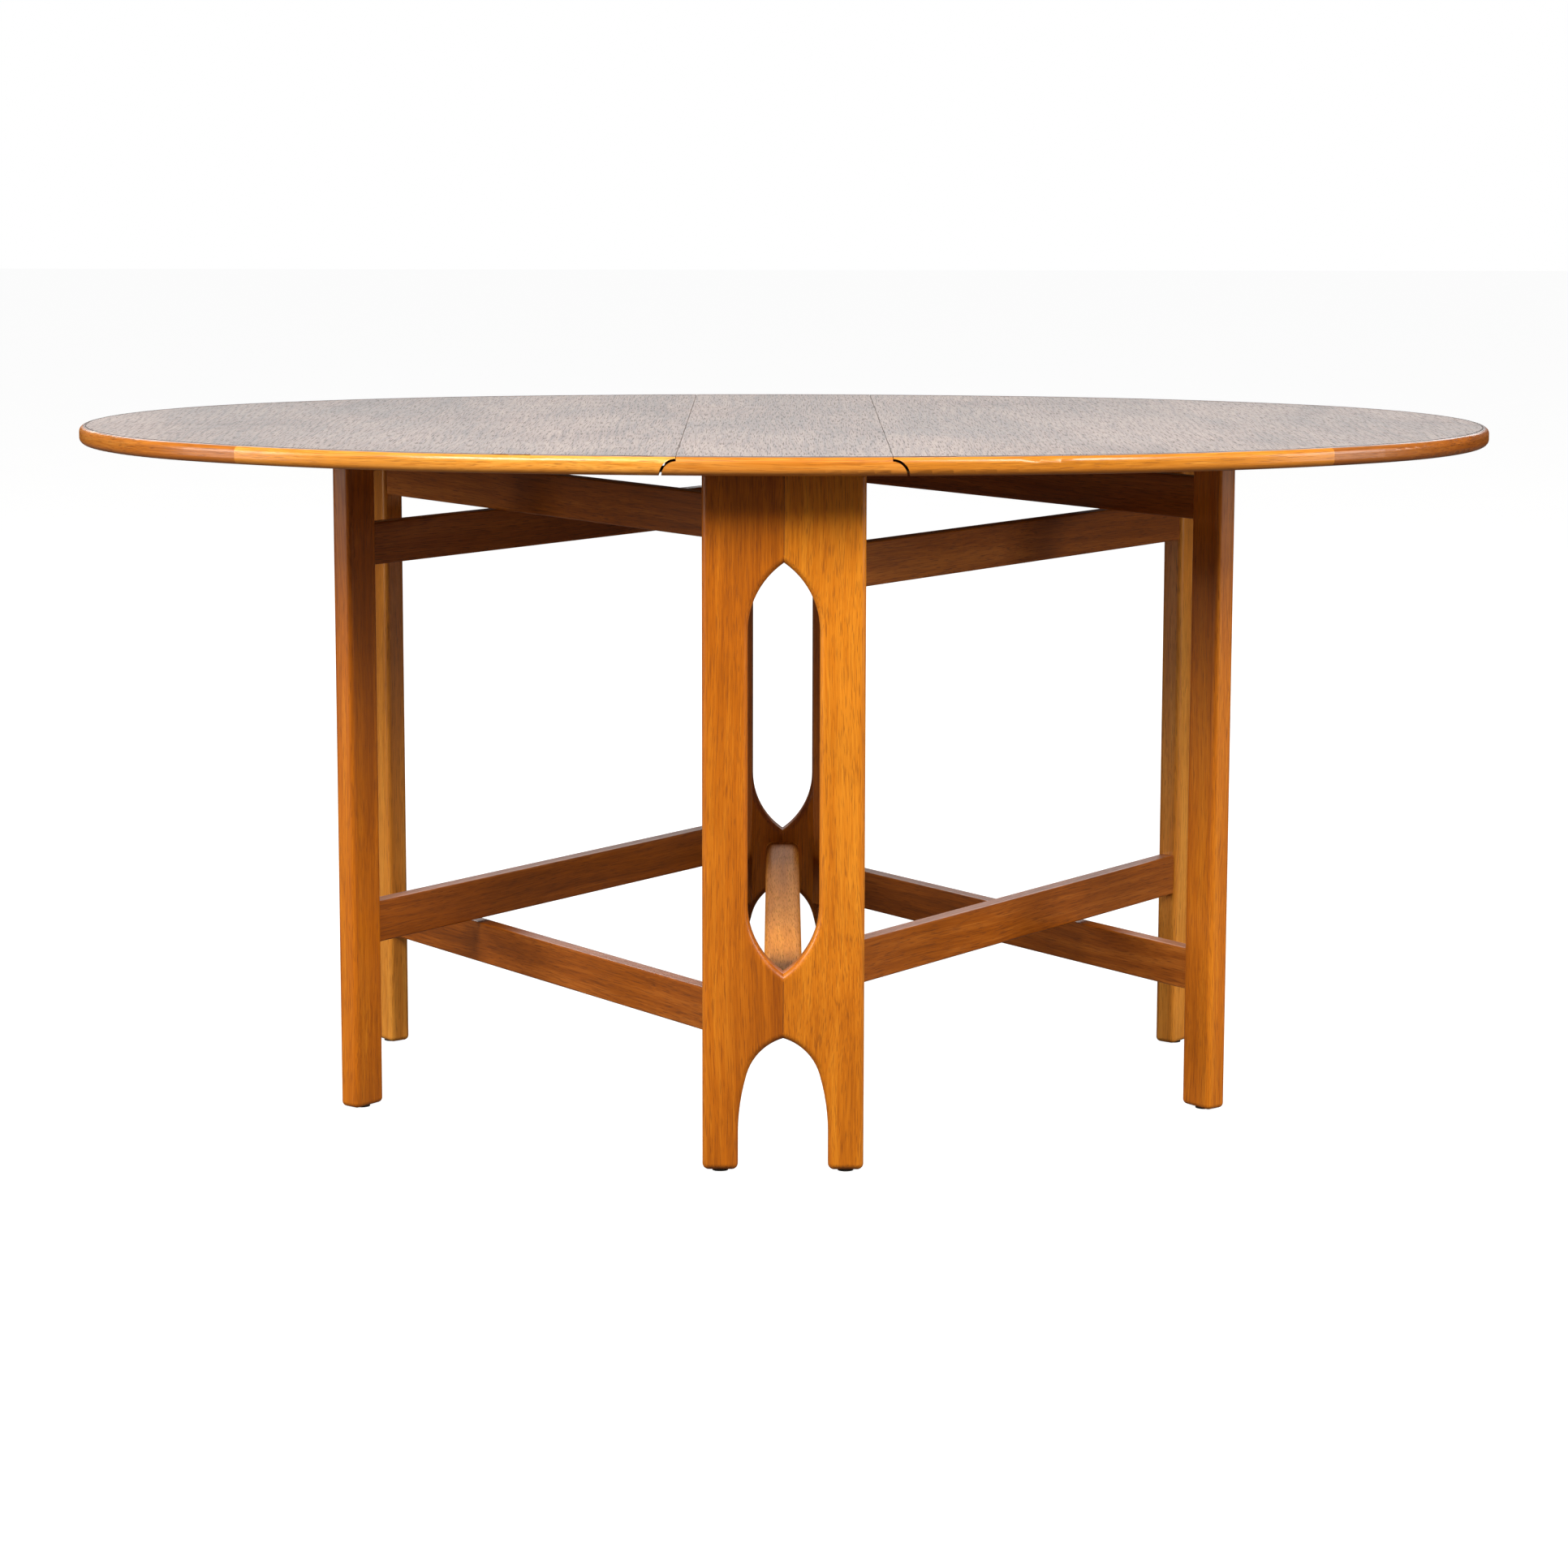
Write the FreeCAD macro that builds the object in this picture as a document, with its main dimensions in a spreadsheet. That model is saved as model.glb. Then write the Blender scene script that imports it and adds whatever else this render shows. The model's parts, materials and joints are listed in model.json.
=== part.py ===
import FreeCAD
import Part
import Sketcher
import math
import os

from FreeCAD import Placement, Rotation, Vector

# Drop-leaf table with four swinging gate legs: a narrow fixed top on two pierced end panels,
# and two round leaves. On each side the two gates cross like scissors: the rails of the inner
# frame pass between the rails of the outer one.
# Millimetres. +X is the long way of the open table, +Y its back, +Z up.
# The origin is on the floor, under the middle of the top.

SIZES = {
    # top
    "top_height": 720.0,
    "top_thick": 18.5,
    "top_half_long": 756.0,
    "top_half_deep": 491.0,
    "front_arc_radius": 1415.0,
    "shoulder_arc_radius": 764.0,
    "nose_arc_radius": 401.0,
    "veneer_thick": 0.9,
    "lipping_wide": 7.0,
    "lipping_top_round": 6.4,
    "lipping_under_round": 6.4,
    "lipping_joint_at": 545.0,
    # rule joint between the fixed top and a leaf
    "seam_half": 104.0,
    "rule_round": 14.0,
    "lip_gap": 0.5,
    "cove_gap": 2.6,
    # end panels
    "panel_half_wide": 80.5,
    "panel_thick": 24.0,
    "panel_front": 427.5,
    "panel_arris": 6.5,
    "slot_half": 35.5,
    "slot_low_tip": 202.0,
    "slot_high_tip": 611.5,
    "slot_tip_rise": 68.0,
    "arch_tip": 136.0,
    "arch_half": 45.0,
    "arch_crown_round": 54.2,
    "arch_crown_offset": 15.8,
    "arch_crown_drop": 36.8,
    "foot_round": 6.0,
    "glide_high": 2.0,
    "glide_round": 8.0,
    # boards between the panels
    "upper_rail_half": 64.0,
    "upper_rail_thick": 20.0,
    "stretcher_half": 19.5,
    "stretcher_top": 187.0,
    "stretcher_thick": 26.0,
    "stretcher_round": 8.0,
    # gates
    "pivot_across": 52.0,
    "pivot_along": 370.0,
    "leg_across": 449.0,
    "leg_along": 156.0,
    "leg_wide": 42.0,
    "leg_thick": 25.0,
    "leg_top_gap": 0.3,
    "leg_round": 5.5,
    "rail_thick": 18.0,
    "rail_high": 44.5,
    "rail_round": 2.0,
    "tenon_long": 11.0,
    "tenon_thick": 8.0,
    "tenon_shoulder": 5.0,
    "mortise_gap": 0.1,
    "outer_upper_rail": 629.0,
    "outer_lower_rail": 126.5,
    "inner_upper_rail": 579.5,
    "inner_lower_rail": 176.0,
    "stile_wide": 32.0,
    "stile_thick": 20.0,
    "stile_low": 118.0,
    "stile_high": 679.0,
    "pin_round": 4.0,
    "pin_depth": 22.0,
    "pin_into_base": 14.0,
    "pin_clearance": 0.05,
    "block_inner": 42.0,
    "block_outer": 78.0,
    "block_reach": 53.0,
    "block_thick": 20.0,
    "block_gap": 2.0,
    # hinges under the rule joints
    "hinge_long": 60.0,
    "hinge_spacing": 390.0,
    "barrel_round": 3.2,
    "hinge_pin_round": 1.5,
    "flap_thick": 1.8,
    "fixed_flap_reach": 22.0,
    "leaf_flap_reach": 50.0,
    "flap_clear": 3.6,
    "hinge_recess_high": 4.2,
    "screw_head_round": 3.2,
    "screw_round": 1.6,
    "screw_long": 12.0,
    # wooden stops under the leaves
    "stop_long": 60.0,
    "stop_wide": 16.0,
    "stop_high": 12.0,
    "stop_gap": 1.0,
}

SHEET = "Sizes"
SIDES = {"left": -1, "right": 1}
ENDS = {"front": -1, "back": 1}


def make_sheet(doc):
    sheet = doc.addObject("Spreadsheet::Sheet", SHEET)
    for row, (name, value) in enumerate(SIZES.items(), start=1):
        sheet.set(f"A{row}", name)
        sheet.set(f"B{row}", str(value))
        sheet.setAlias(f"B{row}", name)
    doc.recompute()
    return sheet


def bind(obj, **formulas):
    """Ties properties of an object to cells. A property name is written with __ for a dot."""
    for prop, formula in formulas.items():
        words = formula.split(" ")
        tied = [f"{SHEET}.{word}" if word in SIZES else word for word in words]
        obj.setExpression(prop.replace("__", "."), " ".join(tied))
    return obj


def add_box(doc, name, long, wide, high):
    return bind(doc.addObject("Part::Box", name), Length=long, Width=wide, Height=high)


def add_cylinder(doc, name, radius, high):
    return bind(doc.addObject("Part::Cylinder", name), Radius=radius, Height=high)


def add_boolean(doc, kind, name, pieces):
    """A Part::MultiFuse of all pieces, or a Part::Cut of the first by the second."""
    result = doc.addObject(kind, name)
    if kind == "Part::Cut":
        result.Base, result.Tool = pieces
    else:
        result.Shapes = pieces
    return result


def add_fillet(doc, name, base, radius, wanted):
    """Rounds the edges of base that wanted(edge) accepts."""
    doc.recompute()
    fillet = doc.addObject("Part::Fillet", name)
    fillet.Base = base
    numbers = [i for i, edge in enumerate(base.Shape.Edges, start=1) if wanted(edge)]
    fillet.Edges = [(number, radius, radius) for number in numbers]
    return fillet


def add_shape(doc, name, shape):
    feature = doc.addObject("Part::Feature", name)
    feature.Shape = shape
    return feature


def label(obj, name):
    obj.Label = name
    return obj


def runs_along(edge, axis):
    """True for a straight edge along the unit vector axis."""
    first, last = edge.Vertexes[0].Point, edge.Vertexes[-1].Point
    step = last - first
    return step.Length > 0 and abs(step.dot(axis)) > 0.999 * step.Length


# ---------------------------------------------------------------- top


def shoulder_arc(v):
    """The centre of a shoulder arc, and the unit directions in which it meets its neighbours.

    It is tangent inside the front arc, centred on Y, and outside the nose arc, centred on X."""
    front_centre = Vector(0, v.top_half_deep - v.front_arc_radius, 0)
    nose_centre = Vector(v.top_half_long - v.nose_arc_radius, 0, 0)
    from_front = v.front_arc_radius - v.shoulder_arc_radius
    from_nose = v.shoulder_arc_radius - v.nose_arc_radius
    apart = (nose_centre - front_centre).Length
    along = (from_front**2 - from_nose**2 + apart**2) / (2 * apart)
    aside = math.sqrt(from_front**2 - along**2)
    line = (nose_centre - front_centre).normalize()
    centre = front_centre + line * along + Vector(-line.y, line.x, 0) * aside
    to_front = (centre - front_centre).normalize()
    to_nose = (nose_centre - centre).normalize()
    return front_centre, centre, nose_centre, to_front, to_nose


def outline_face(v, inset, z):
    """The oval outline of the whole top, in eight tangent arcs, moved inwards by inset."""
    front_centre, shoulder_centre, nose_centre, to_front, to_nose = shoulder_arc(v)
    middle = (to_front + to_nose).normalize()
    front_end = front_centre + to_front * (v.front_arc_radius - inset)
    shoulder_middle = shoulder_centre + middle * (v.shoulder_arc_radius - inset)
    nose_end = nose_centre + to_nose * (v.nose_arc_radius - inset)

    def placed(point, side, end):
        return Vector(side * point.x, end * point.y, z)

    edges = []
    for side in (-1, 1):
        for end in (-1, 1):
            stops = [placed(p, side, end) for p in (front_end, shoulder_middle, nose_end)]
            edges.append(Part.Arc(*stops).toShape())
    for end in (-1, 1):
        crown = Vector(0, end * (v.top_half_deep - inset), z)
        ends = [placed(front_end, side, end) for side in (-1, 1)]
        edges.append(Part.Arc(ends[0], crown, ends[1]).toShape())
    for side in (-1, 1):
        nose = Vector(side * (v.top_half_long - inset), 0, z)
        ends = [placed(nose_end, side, end) for end in (-1, 1)]
        edges.append(Part.Arc(ends[0], nose, ends[1]).toShape())
    return Part.Face(Part.Wire(Part.__sortEdges__(edges)))


def top_blanks(v):
    """The core and the veneer of the whole top, before it is cut in three."""
    core_high = v.top_thick - v.veneer_thick
    core_base = outline_face(v, v.lipping_wide, v.top_height - v.top_thick)
    veneer_base = outline_face(v, v.lipping_wide, v.top_height - v.veneer_thick)
    return core_base.extrude(Vector(0, 0, core_high)), veneer_base.extrude(Vector(0, 0, v.veneer_thick))


def lipping_run(v, centre, radius, start, stop):
    """A length of lipping along one arc of the outline, between two angles in degrees."""
    top, under = v.top_height, v.top_height - v.top_thick
    upper, lower = v.lipping_top_round, v.lipping_under_round
    inner, bend = radius - v.lipping_wide, 1 - math.sqrt(0.5)
    profile = [
        [(inner, under), (inner, top)],
        [(inner, top), (radius - upper, top)],
        [(radius - upper, top), (radius - upper * bend, top - upper * bend), (radius, top - upper)],
        [(radius, top - upper), (radius, under + lower)],
        [(radius, under + lower), (radius - lower * bend, under + lower * bend),
         (radius - lower, under)],
        [(radius - lower, under), (inner, under)],
    ]
    edges = []
    for run in profile:
        spots = [Vector(r, 0, z) for r, z in run]
        curve = Part.LineSegment(*spots) if len(spots) == 2 else Part.Arc(*spots)
        edges.append(curve.toShape())
    face = Part.Face(Part.Wire(edges))
    face.rotate(Vector(0, 0, 0), Vector(0, 0, 1), start)
    face.translate(Vector(centre.x, centre.y, 0))
    return face.revolve(Vector(centre.x, centre.y, 0), Vector(0, 0, 1), stop - start)


def lipping_quarter(v):
    """One quarter's lipping, +X +Y: from the middle to the butt joint, and on to the nose arc."""
    front_centre, shoulder_centre, _, to_front, to_nose = shoulder_arc(v)
    front_angle = math.degrees(math.atan2(to_front.y, to_front.x))
    nose_angle = math.degrees(math.atan2(to_nose.y, to_nose.x))
    reach = (v.lipping_joint_at - shoulder_centre.x) / v.shoulder_arc_radius
    joint_angle = math.degrees(math.acos(reach))
    crown = lipping_run(v, front_centre, v.front_arc_radius, front_angle, 90)
    shoulder = lipping_run(v, shoulder_centre, v.shoulder_arc_radius, joint_angle, front_angle)
    beyond = lipping_run(v, shoulder_centre, v.shoulder_arc_radius, nose_angle, joint_angle)
    return crown.fuse(shoulder), beyond


def mirrored(shape, side, end):
    if side < 0:
        shape = shape.mirror(Vector(0, 0, 0), Vector(1, 0, 0))
    if end < 0:
        shape = shape.mirror(Vector(0, 0, 0), Vector(0, 1, 0))
    return shape


def nose_lipping(v, side):
    """The lipping round a leaf's far end, from one butt joint to the other."""
    _, _, nose_centre, _, to_nose = shoulder_arc(v)
    nose_angle = math.degrees(math.atan2(to_nose.y, to_nose.x))
    middle = lipping_run(v, nose_centre, v.nose_arc_radius, -nose_angle, nose_angle)
    beyond = lipping_quarter(v)[1]
    whole = middle.fuse([beyond, mirrored(beyond, 1, -1)])
    return mirrored(whole, side, 1)


def section_solid(v, points_and_arcs):
    """A section in the XZ plane, drawn through points (2) and arc middles (3), along all of Y."""
    far = v.top_half_deep + 10
    edges = []
    for item in points_and_arcs:
        spots = [Vector(x, -far, z) for x, z in item]
        if len(spots) == 2:
            edges.append(Part.LineSegment(*spots).toShape())
        else:
            edges.append(Part.Arc(*spots).toShape())
    return Part.Face(Part.Wire(edges)).extrude(Vector(0, 2 * far, 0))


def fixed_top_section(v):
    """Square shoulders above, and a quarter round under each shoulder."""
    under, over = v.top_height - v.top_thick, v.top_height + 1
    seam, radius = v.seam_half, v.rule_round
    bend = radius * math.sqrt(0.5)
    outline = [
        [(seam, over), (seam, under + radius)],
        [(seam, under + radius), (seam + bend, under + bend), (seam + radius, under)],
        [(seam + radius, under), (-seam - radius, under)],
        [(-seam - radius, under), (-seam - bend, under + bend), (-seam, under + radius)],
        [(-seam, under + radius), (-seam, over)],
        [(-seam, over), (seam, over)],
    ]
    return section_solid(v, outline)


def leaf_section(v, side):
    """A square lip above, and a cove that fits round the fixed top's quarter round."""
    under, over = v.top_height - v.top_thick, v.top_height + 1
    lip, radius = v.seam_half + v.lip_gap, v.rule_round + v.cove_gap
    centre, outer = v.seam_half, v.top_half_long + 10
    step = under + math.sqrt(radius**2 - v.lip_gap**2)
    bend = radius * math.sqrt(0.5)
    outline = [
        [(side * lip, over), (side * lip, step)],
        [(side * lip, step), (side * (centre + bend), under + bend), (side * (centre + radius), under)],
        [(side * (centre + radius), under), (side * outer, under)],
        [(side * outer, under), (side * outer, over)],
        [(side * outer, over), (side * lip, over)],
    ]
    return section_solid(v, outline)


def hinge_recesses(v):
    """The hollows that take the barrels under the fixed top, where the round is cut back."""
    under = v.top_height - v.top_thick
    start = v.seam_half - v.barrel_round - 1
    width = v.rule_round + v.barrel_round + 2
    long = v.hinge_long + 1
    boxes = []
    for side in SIDES.values():
        for step in (-1, 0, 1):
            x = start if side > 0 else -start - width
            corner = Vector(x, step * v.hinge_spacing - long / 2, under - 1)
            boxes.append(Part.makeBox(width, long, v.hinge_recess_high + 1, corner))
    return Part.makeCompound(boxes)


def make_fixed_top(doc, v, core, veneer):
    section = fixed_top_section(v)
    add_shape(doc, "fixed_top_core", core.common(section).cut(hinge_recesses(v)))
    add_shape(doc, "fixed_top_veneer", veneer.common(section))
    front_centre, _, _, to_front, _ = shoulder_arc(v)
    front_angle = math.degrees(math.atan2(to_front.y, to_front.x))
    crown = lipping_run(v, front_centre, v.front_arc_radius, front_angle, 180 - front_angle)
    for end, sign in ENDS.items():
        add_shape(doc, f"fixed_top_lipping_{end}", mirrored(crown, 1, sign).common(section))


def make_leaf(doc, v, side_name, core, veneer):
    """A leaf's core, its veneer, and its lipping in three lengths, butted at the joints."""
    side = SIDES[side_name]
    section = leaf_section(v, side)
    add_shape(doc, f"{side_name}_leaf_core", core.common(section))
    add_shape(doc, f"{side_name}_leaf_veneer", veneer.common(section))
    add_shape(doc, f"{side_name}_leaf_lipping_nose", nose_lipping(v, side))
    near_joint = lipping_quarter(v)[0]
    for end, sign in ENDS.items():
        lipping = mirrored(near_joint, side, sign).common(section)
        add_shape(doc, f"{side_name}_leaf_lipping_{end}", lipping)


# ---------------------------------------------------------------- end panels


def panel_outline(v, side):
    """Half of an end panel, as (x, z) runs: two points are a line, three are an arc.

    The half slot has pointed ends, each one arc that leaves the straight side smoothly.
    The half arch is a tight crown arc that runs into a long flat one, then a straight side."""
    top = v.top_height - v.top_thick
    edge, toe = v.panel_half_wide, v.foot_round
    low = v.glide_high
    slot, rise = v.slot_half, v.slot_tip_rise
    slot_round = (slot**2 + rise**2) / (2 * slot)
    tilt = math.asin(rise / slot_round) / 2
    slot_mid_x = slot - slot_round * (1 - math.cos(tilt))
    slot_mid_rise = rise - slot_round * math.sin(tilt)
    crown_x = -v.arch_crown_offset
    crown_z = v.arch_tip - math.sqrt(v.arch_crown_round**2 - v.arch_crown_offset**2)
    knee_z = v.arch_tip - v.arch_crown_drop
    knee_lean = math.asin((knee_z - crown_z) / v.arch_crown_round)
    knee_x = crown_x + v.arch_crown_round * math.cos(knee_lean)
    tip_lean = math.acos(v.arch_crown_offset / v.arch_crown_round)
    half_lean = (tip_lean + knee_lean) / 2
    crown_mid = (crown_x + v.arch_crown_round * math.cos(half_lean),
                 crown_z + v.arch_crown_round * math.sin(half_lean))
    side_round = (v.arch_half - knee_x) / (1 - math.cos(knee_lean))
    spring_z = knee_z - side_round * math.sin(knee_lean)
    side_mid = (v.arch_half - side_round * (1 - math.cos(knee_lean / 2)),
                spring_z + side_round * math.sin(knee_lean / 2))
    bend = toe * (1 - math.sqrt(0.5))
    arch = v.arch_half
    runs = [
        [(0, top), (edge, top)],
        [(edge, top), (edge, low + toe)],
        [(edge, low + toe), (edge - bend, low + bend), (edge - toe, low)],
        [(edge - toe, low), (arch + toe, low)],
        [(arch + toe, low), (arch + bend, low + bend), (arch, low + toe)],
        [(arch, low + toe), (arch, spring_z)],
        [(arch, spring_z), side_mid, (knee_x, knee_z)],
        [(knee_x, knee_z), crown_mid, (0, v.arch_tip)],
        [(0, v.arch_tip), (0, v.slot_low_tip)],
        [(0, v.slot_low_tip), (slot_mid_x, v.slot_low_tip + slot_mid_rise),
         (slot, v.slot_low_tip + rise)],
        [(slot, v.slot_low_tip + rise), (slot, v.slot_high_tip - rise)],
        [(slot, v.slot_high_tip - rise), (slot_mid_x, v.slot_high_tip - slot_mid_rise),
         (0, v.slot_high_tip)],
        [(0, v.slot_high_tip), (0, top)],
    ]
    return [[(side * x, z) for x, z in run] for run in runs]


def draw(sketch, runs):
    """Draws the runs in the sketch's plane and ties each one's end to the next one's start."""
    ends = []
    for i, run in enumerate(runs):
        spots = [Vector(x, z, 0) for x, z in run]
        curve = Part.LineSegment(*spots) if len(spots) == 2 else Part.Arc(*spots)
        sketch.addGeometry(curve)
        forward = (sketch.getPoint(i, 1) - spots[0]).Length < 0.01
        ends.append((1, 2) if forward else (2, 1))
    for i, (_, last) in enumerate(ends):
        after = (i + 1) % len(ends)
        tie = Sketcher.Constraint("Coincident", i, last, after, ends[after][0])
        sketch.addConstraint(tie)


def origin_plane(body, role):
    return next(f for f in body.Origin.OriginFeatures if f.Role == role)


def padded_body(doc, name, role, runs, thickness):
    body = doc.addObject("PartDesign::Body", f"{name}_body")
    sketch = body.newObject("Sketcher::SketchObject", f"{name}_outline")
    sketch.AttachmentSupport = [(origin_plane(body, role), "")]
    sketch.MapMode = "FlatFace"
    draw(sketch, runs)
    pad = body.newObject("PartDesign::Pad", f"{name}_pad")
    pad.Profile = sketch
    bind(pad, Length=thickness)
    doc.recompute()
    return body, pad


def round_body(doc, body, pad, radius, wanted):
    """Rounds the pad's edges that wanted(edge) accepts."""
    names = [f"Edge{i}" for i, e in enumerate(pad.Shape.Edges, start=1) if wanted(e)]
    fillet = body.newObject("PartDesign::Fillet", f"{body.Name}_rounds")
    fillet.Base = (pad, names)
    bind(fillet, Radius=radius)
    body.Tip = fillet
    doc.recompute()


def make_panel_board(doc, v, end, side_name):
    """Half an end panel: two such boards are glued on the middle line."""
    name = f"{end}_panel_{side_name}_board"
    runs = panel_outline(v, SIDES[side_name])
    body, pad = padded_body(doc, name, "XZ_Plane", runs, "panel_thick")
    top = v.top_height - v.top_thick

    def is_arris(edge):
        box = edge.BoundBox
        on_seam = box.XLength < 0.01 and abs(box.XMin) < 0.01
        return box.YLength < 0.01 and not on_seam and box.ZMin < top - 1

    round_body(doc, body, pad, "panel_arris", is_arris)
    near = "panel_front" if end == "back" else "panel_thick - panel_front"
    bind(body, Placement__Base__y=near)
    return label(body, name)


def make_glides(doc, v, name, spots):
    """Round plastic glides under the feet."""
    glides = []
    for i, (x, y) in enumerate(spots):
        glide = add_cylinder(doc, f"{name}_{i}", "glide_round", "glide_high")
        glide.Placement = Placement(Vector(x, y, 0), Rotation())
        glides.append(glide)
    if len(glides) == 1:
        return label(glides[0], name)
    group = doc.addObject("Part::Compound", f"{name}_group")
    group.Links = glides
    return label(group, name)


# ---------------------------------------------------------------- boards between the panels


def pivot_spots(v):
    """Where each gate turns: {gate: (x, y)}. A front leg's gate turns at the back, and vice versa."""
    spots = {}
    for side_name, side in SIDES.items():
        for end, sign in ENDS.items():
            spots[f"{end}_{side_name}"] = (side * v.pivot_across, -sign * v.pivot_along)
    return spots


def pin_hole(doc, v, name, x, y, z):
    hole = add_cylinder(doc, name, "pin_round + pin_clearance", "pin_into_base + 1")
    hole.Placement = Placement(Vector(x, y, z), Rotation())
    return hole


def make_upper_rail(doc, v):
    """A flat board under the fixed top, between the panels, that holds the gates' upper pins."""
    under = v.top_height - v.top_thick
    low = under - v.upper_rail_thick
    inner = v.panel_front - v.panel_thick
    board = add_box(doc, "upper_rail_board", "2 * upper_rail_half",
                    "2 * ( panel_front - panel_thick )", "upper_rail_thick")
    board.Placement = Placement(Vector(-v.upper_rail_half, -inner, low), Rotation())
    holes = [pin_hole(doc, v, f"upper_pin_hole_{gate}", x, y, low - 1)
             for gate, (x, y) in pivot_spots(v).items()]
    all_holes = add_boolean(doc, "Part::MultiFuse", "upper_pin_holes", holes)
    label(add_boolean(doc, "Part::Cut", "upper_rail", (board, all_holes)), "upper_rail")


def make_stretcher(doc, v):
    """A flat rail low down between the panels, with its upper edges well rounded."""
    inner = v.panel_front - v.panel_thick
    bar = add_box(doc, "stretcher_bar", "2 * stretcher_half",
                  "2 * ( panel_front - panel_thick )", "stretcher_thick")
    low = v.stretcher_top - v.stretcher_thick
    bar.Placement = Placement(Vector(-v.stretcher_half, -inner, low), Rotation())

    def is_upper_edge(edge):
        return runs_along(edge, Vector(0, 1, 0)) and edge.BoundBox.ZMin > v.stretcher_top - 1

    label(add_fillet(doc, "stretcher_rounds", bar, v.stretcher_round, is_upper_edge),
          "lower_stretcher")


def make_pivot_blocks(doc, v):
    """Four small blocks on the panels' inner faces, one under each gate's inner stile."""
    high = v.stile_low - v.block_gap
    inner = v.panel_front - v.panel_thick
    width = v.block_outer - v.block_inner
    for gate, (x, y) in pivot_spots(v).items():
        name = f"pivot_block_{gate}"
        block = add_box(doc, f"{name}_wood", "block_outer - block_inner", "block_reach", "block_thick")
        corner_x = v.block_inner if x > 0 else -v.block_inner - width
        corner_y = inner - v.block_reach if y > 0 else -inner
        block.Placement = Placement(Vector(corner_x, corner_y, high - v.block_thick), Rotation())
        hole = pin_hole(doc, v, f"{name}_hole", x, y, high - v.pin_into_base)
        label(add_boolean(doc, "Part::Cut", f"{name}_drilled", (block, hole)), name)


def make_rail_screws(doc, v):
    """Countersunk screws up through the upper rail into the fixed top."""
    low = v.top_height - v.top_thick - v.upper_rail_thick
    screws = []
    for x in (-v.upper_rail_half / 2, v.upper_rail_half / 2):
        for y in (-v.pivot_along * 0.8, 0, v.pivot_along * 0.8):
            head = Part.makeCone(v.screw_head_round, v.screw_round, v.flap_thick, Vector(x, y, low))
            shank = Part.makeCylinder(v.screw_round, v.upper_rail_thick + v.screw_long / 2,
                                      Vector(x, y, low))
            screws.append(head.fuse(shank))
    add_shape(doc, "upper_rail_screws", Part.makeCompound(screws))


# ---------------------------------------------------------------- gates


def gate_length(v):
    return math.hypot(v.leg_across - v.pivot_across, v.pivot_along + v.leg_along)


def gate_placement(v, gate):
    """Carries a gate from its own frame, pivot at the origin and leg along +X, to its place."""
    end, side_name = gate.split("_")
    x, y = pivot_spots(v)[gate]
    leg = Vector(SIDES[side_name] * v.leg_across, ENDS[end] * v.leg_along, 0)
    lean = math.degrees(math.atan2(leg.y - y, leg.x - x))
    return Placement(Vector(x, y, 0), Rotation(Vector(0, 0, 1), lean))


def rail_heights(v, gate):
    """The undersides of a gate's two rails: the inner frame's rails pass between the outer's."""
    if gate in ("front_left", "back_right"):
        return {"upper": v.inner_upper_rail, "lower": v.inner_lower_rail}
    return {"upper": v.outer_upper_rail, "lower": v.outer_lower_rail}


def mortises(doc, v, name, gate, x):
    """The hollows for both rails' tenons, from x along the gate."""
    boxes = []
    for level, low in rail_heights(v, gate).items():
        box = add_box(doc, f"{name}_{level}_mortise", "tenon_long + mortise_gap",
                      "tenon_thick + 2 * mortise_gap",
                      "rail_high - 2 * tenon_shoulder + 2 * mortise_gap")
        corner = Vector(x, -v.tenon_thick / 2 - v.mortise_gap, low + v.tenon_shoulder - v.mortise_gap)
        box.Placement = Placement(corner, Rotation())
        boxes.append(box)
    return boxes


def make_leg(doc, v, gate, placement):
    name = f"gate_{gate}_leg"
    reach = gate_length(v)
    half_wide, half_thick = v.leg_wide / 2, v.leg_thick / 2
    post = add_box(doc, f"{name}_post", "leg_wide", "leg_thick",
                   "top_height - top_thick - leg_top_gap - glide_high")
    post.Placement = Placement(Vector(reach - half_wide, -half_thick, v.glide_high), Rotation())
    top = v.top_height - v.top_thick - v.leg_top_gap
    rounded = add_fillet(doc, f"{name}_rounded", post, v.leg_round, lambda e: e.BoundBox.ZMin < top - 1)
    tool = add_boolean(doc, "Part::MultiFuse", f"{name}_mortises",
                       mortises(doc, v, name, gate, reach - half_wide))
    leg = add_boolean(doc, "Part::Cut", name, (rounded, tool))
    leg.Placement = placement
    label(leg, name)


def make_stile(doc, v, gate, placement):
    """The gate's inner upright, drilled at both ends for the pins that it turns on."""
    name = f"gate_{gate}_stile"
    half_wide, half_thick = v.stile_wide / 2, v.stile_thick / 2
    post = add_box(doc, f"{name}_post", "stile_wide", "stile_thick", "stile_high - stile_low")
    post.Placement = Placement(Vector(-half_wide, -half_thick, v.stile_low), Rotation())
    rounded = add_fillet(doc, f"{name}_rounded", post, v.leg_round,
                         lambda e: runs_along(e, Vector(0, 0, 1)))
    cuts = mortises(doc, v, name, gate, half_wide - v.tenon_long - v.mortise_gap)
    for level, z in (("low", v.stile_low - 1), ("high", v.stile_high - v.pin_depth)):
        bore = add_cylinder(doc, f"{name}_{level}_bore", "pin_round + pin_clearance", "pin_depth + 1")
        bore.Placement = Placement(Vector(0, 0, z), Rotation())
        cuts.append(bore)
    tool = add_boolean(doc, "Part::MultiFuse", f"{name}_cuts", cuts)
    stile = add_boolean(doc, "Part::Cut", name, (rounded, tool))
    stile.Placement = placement
    label(stile, name)


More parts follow.
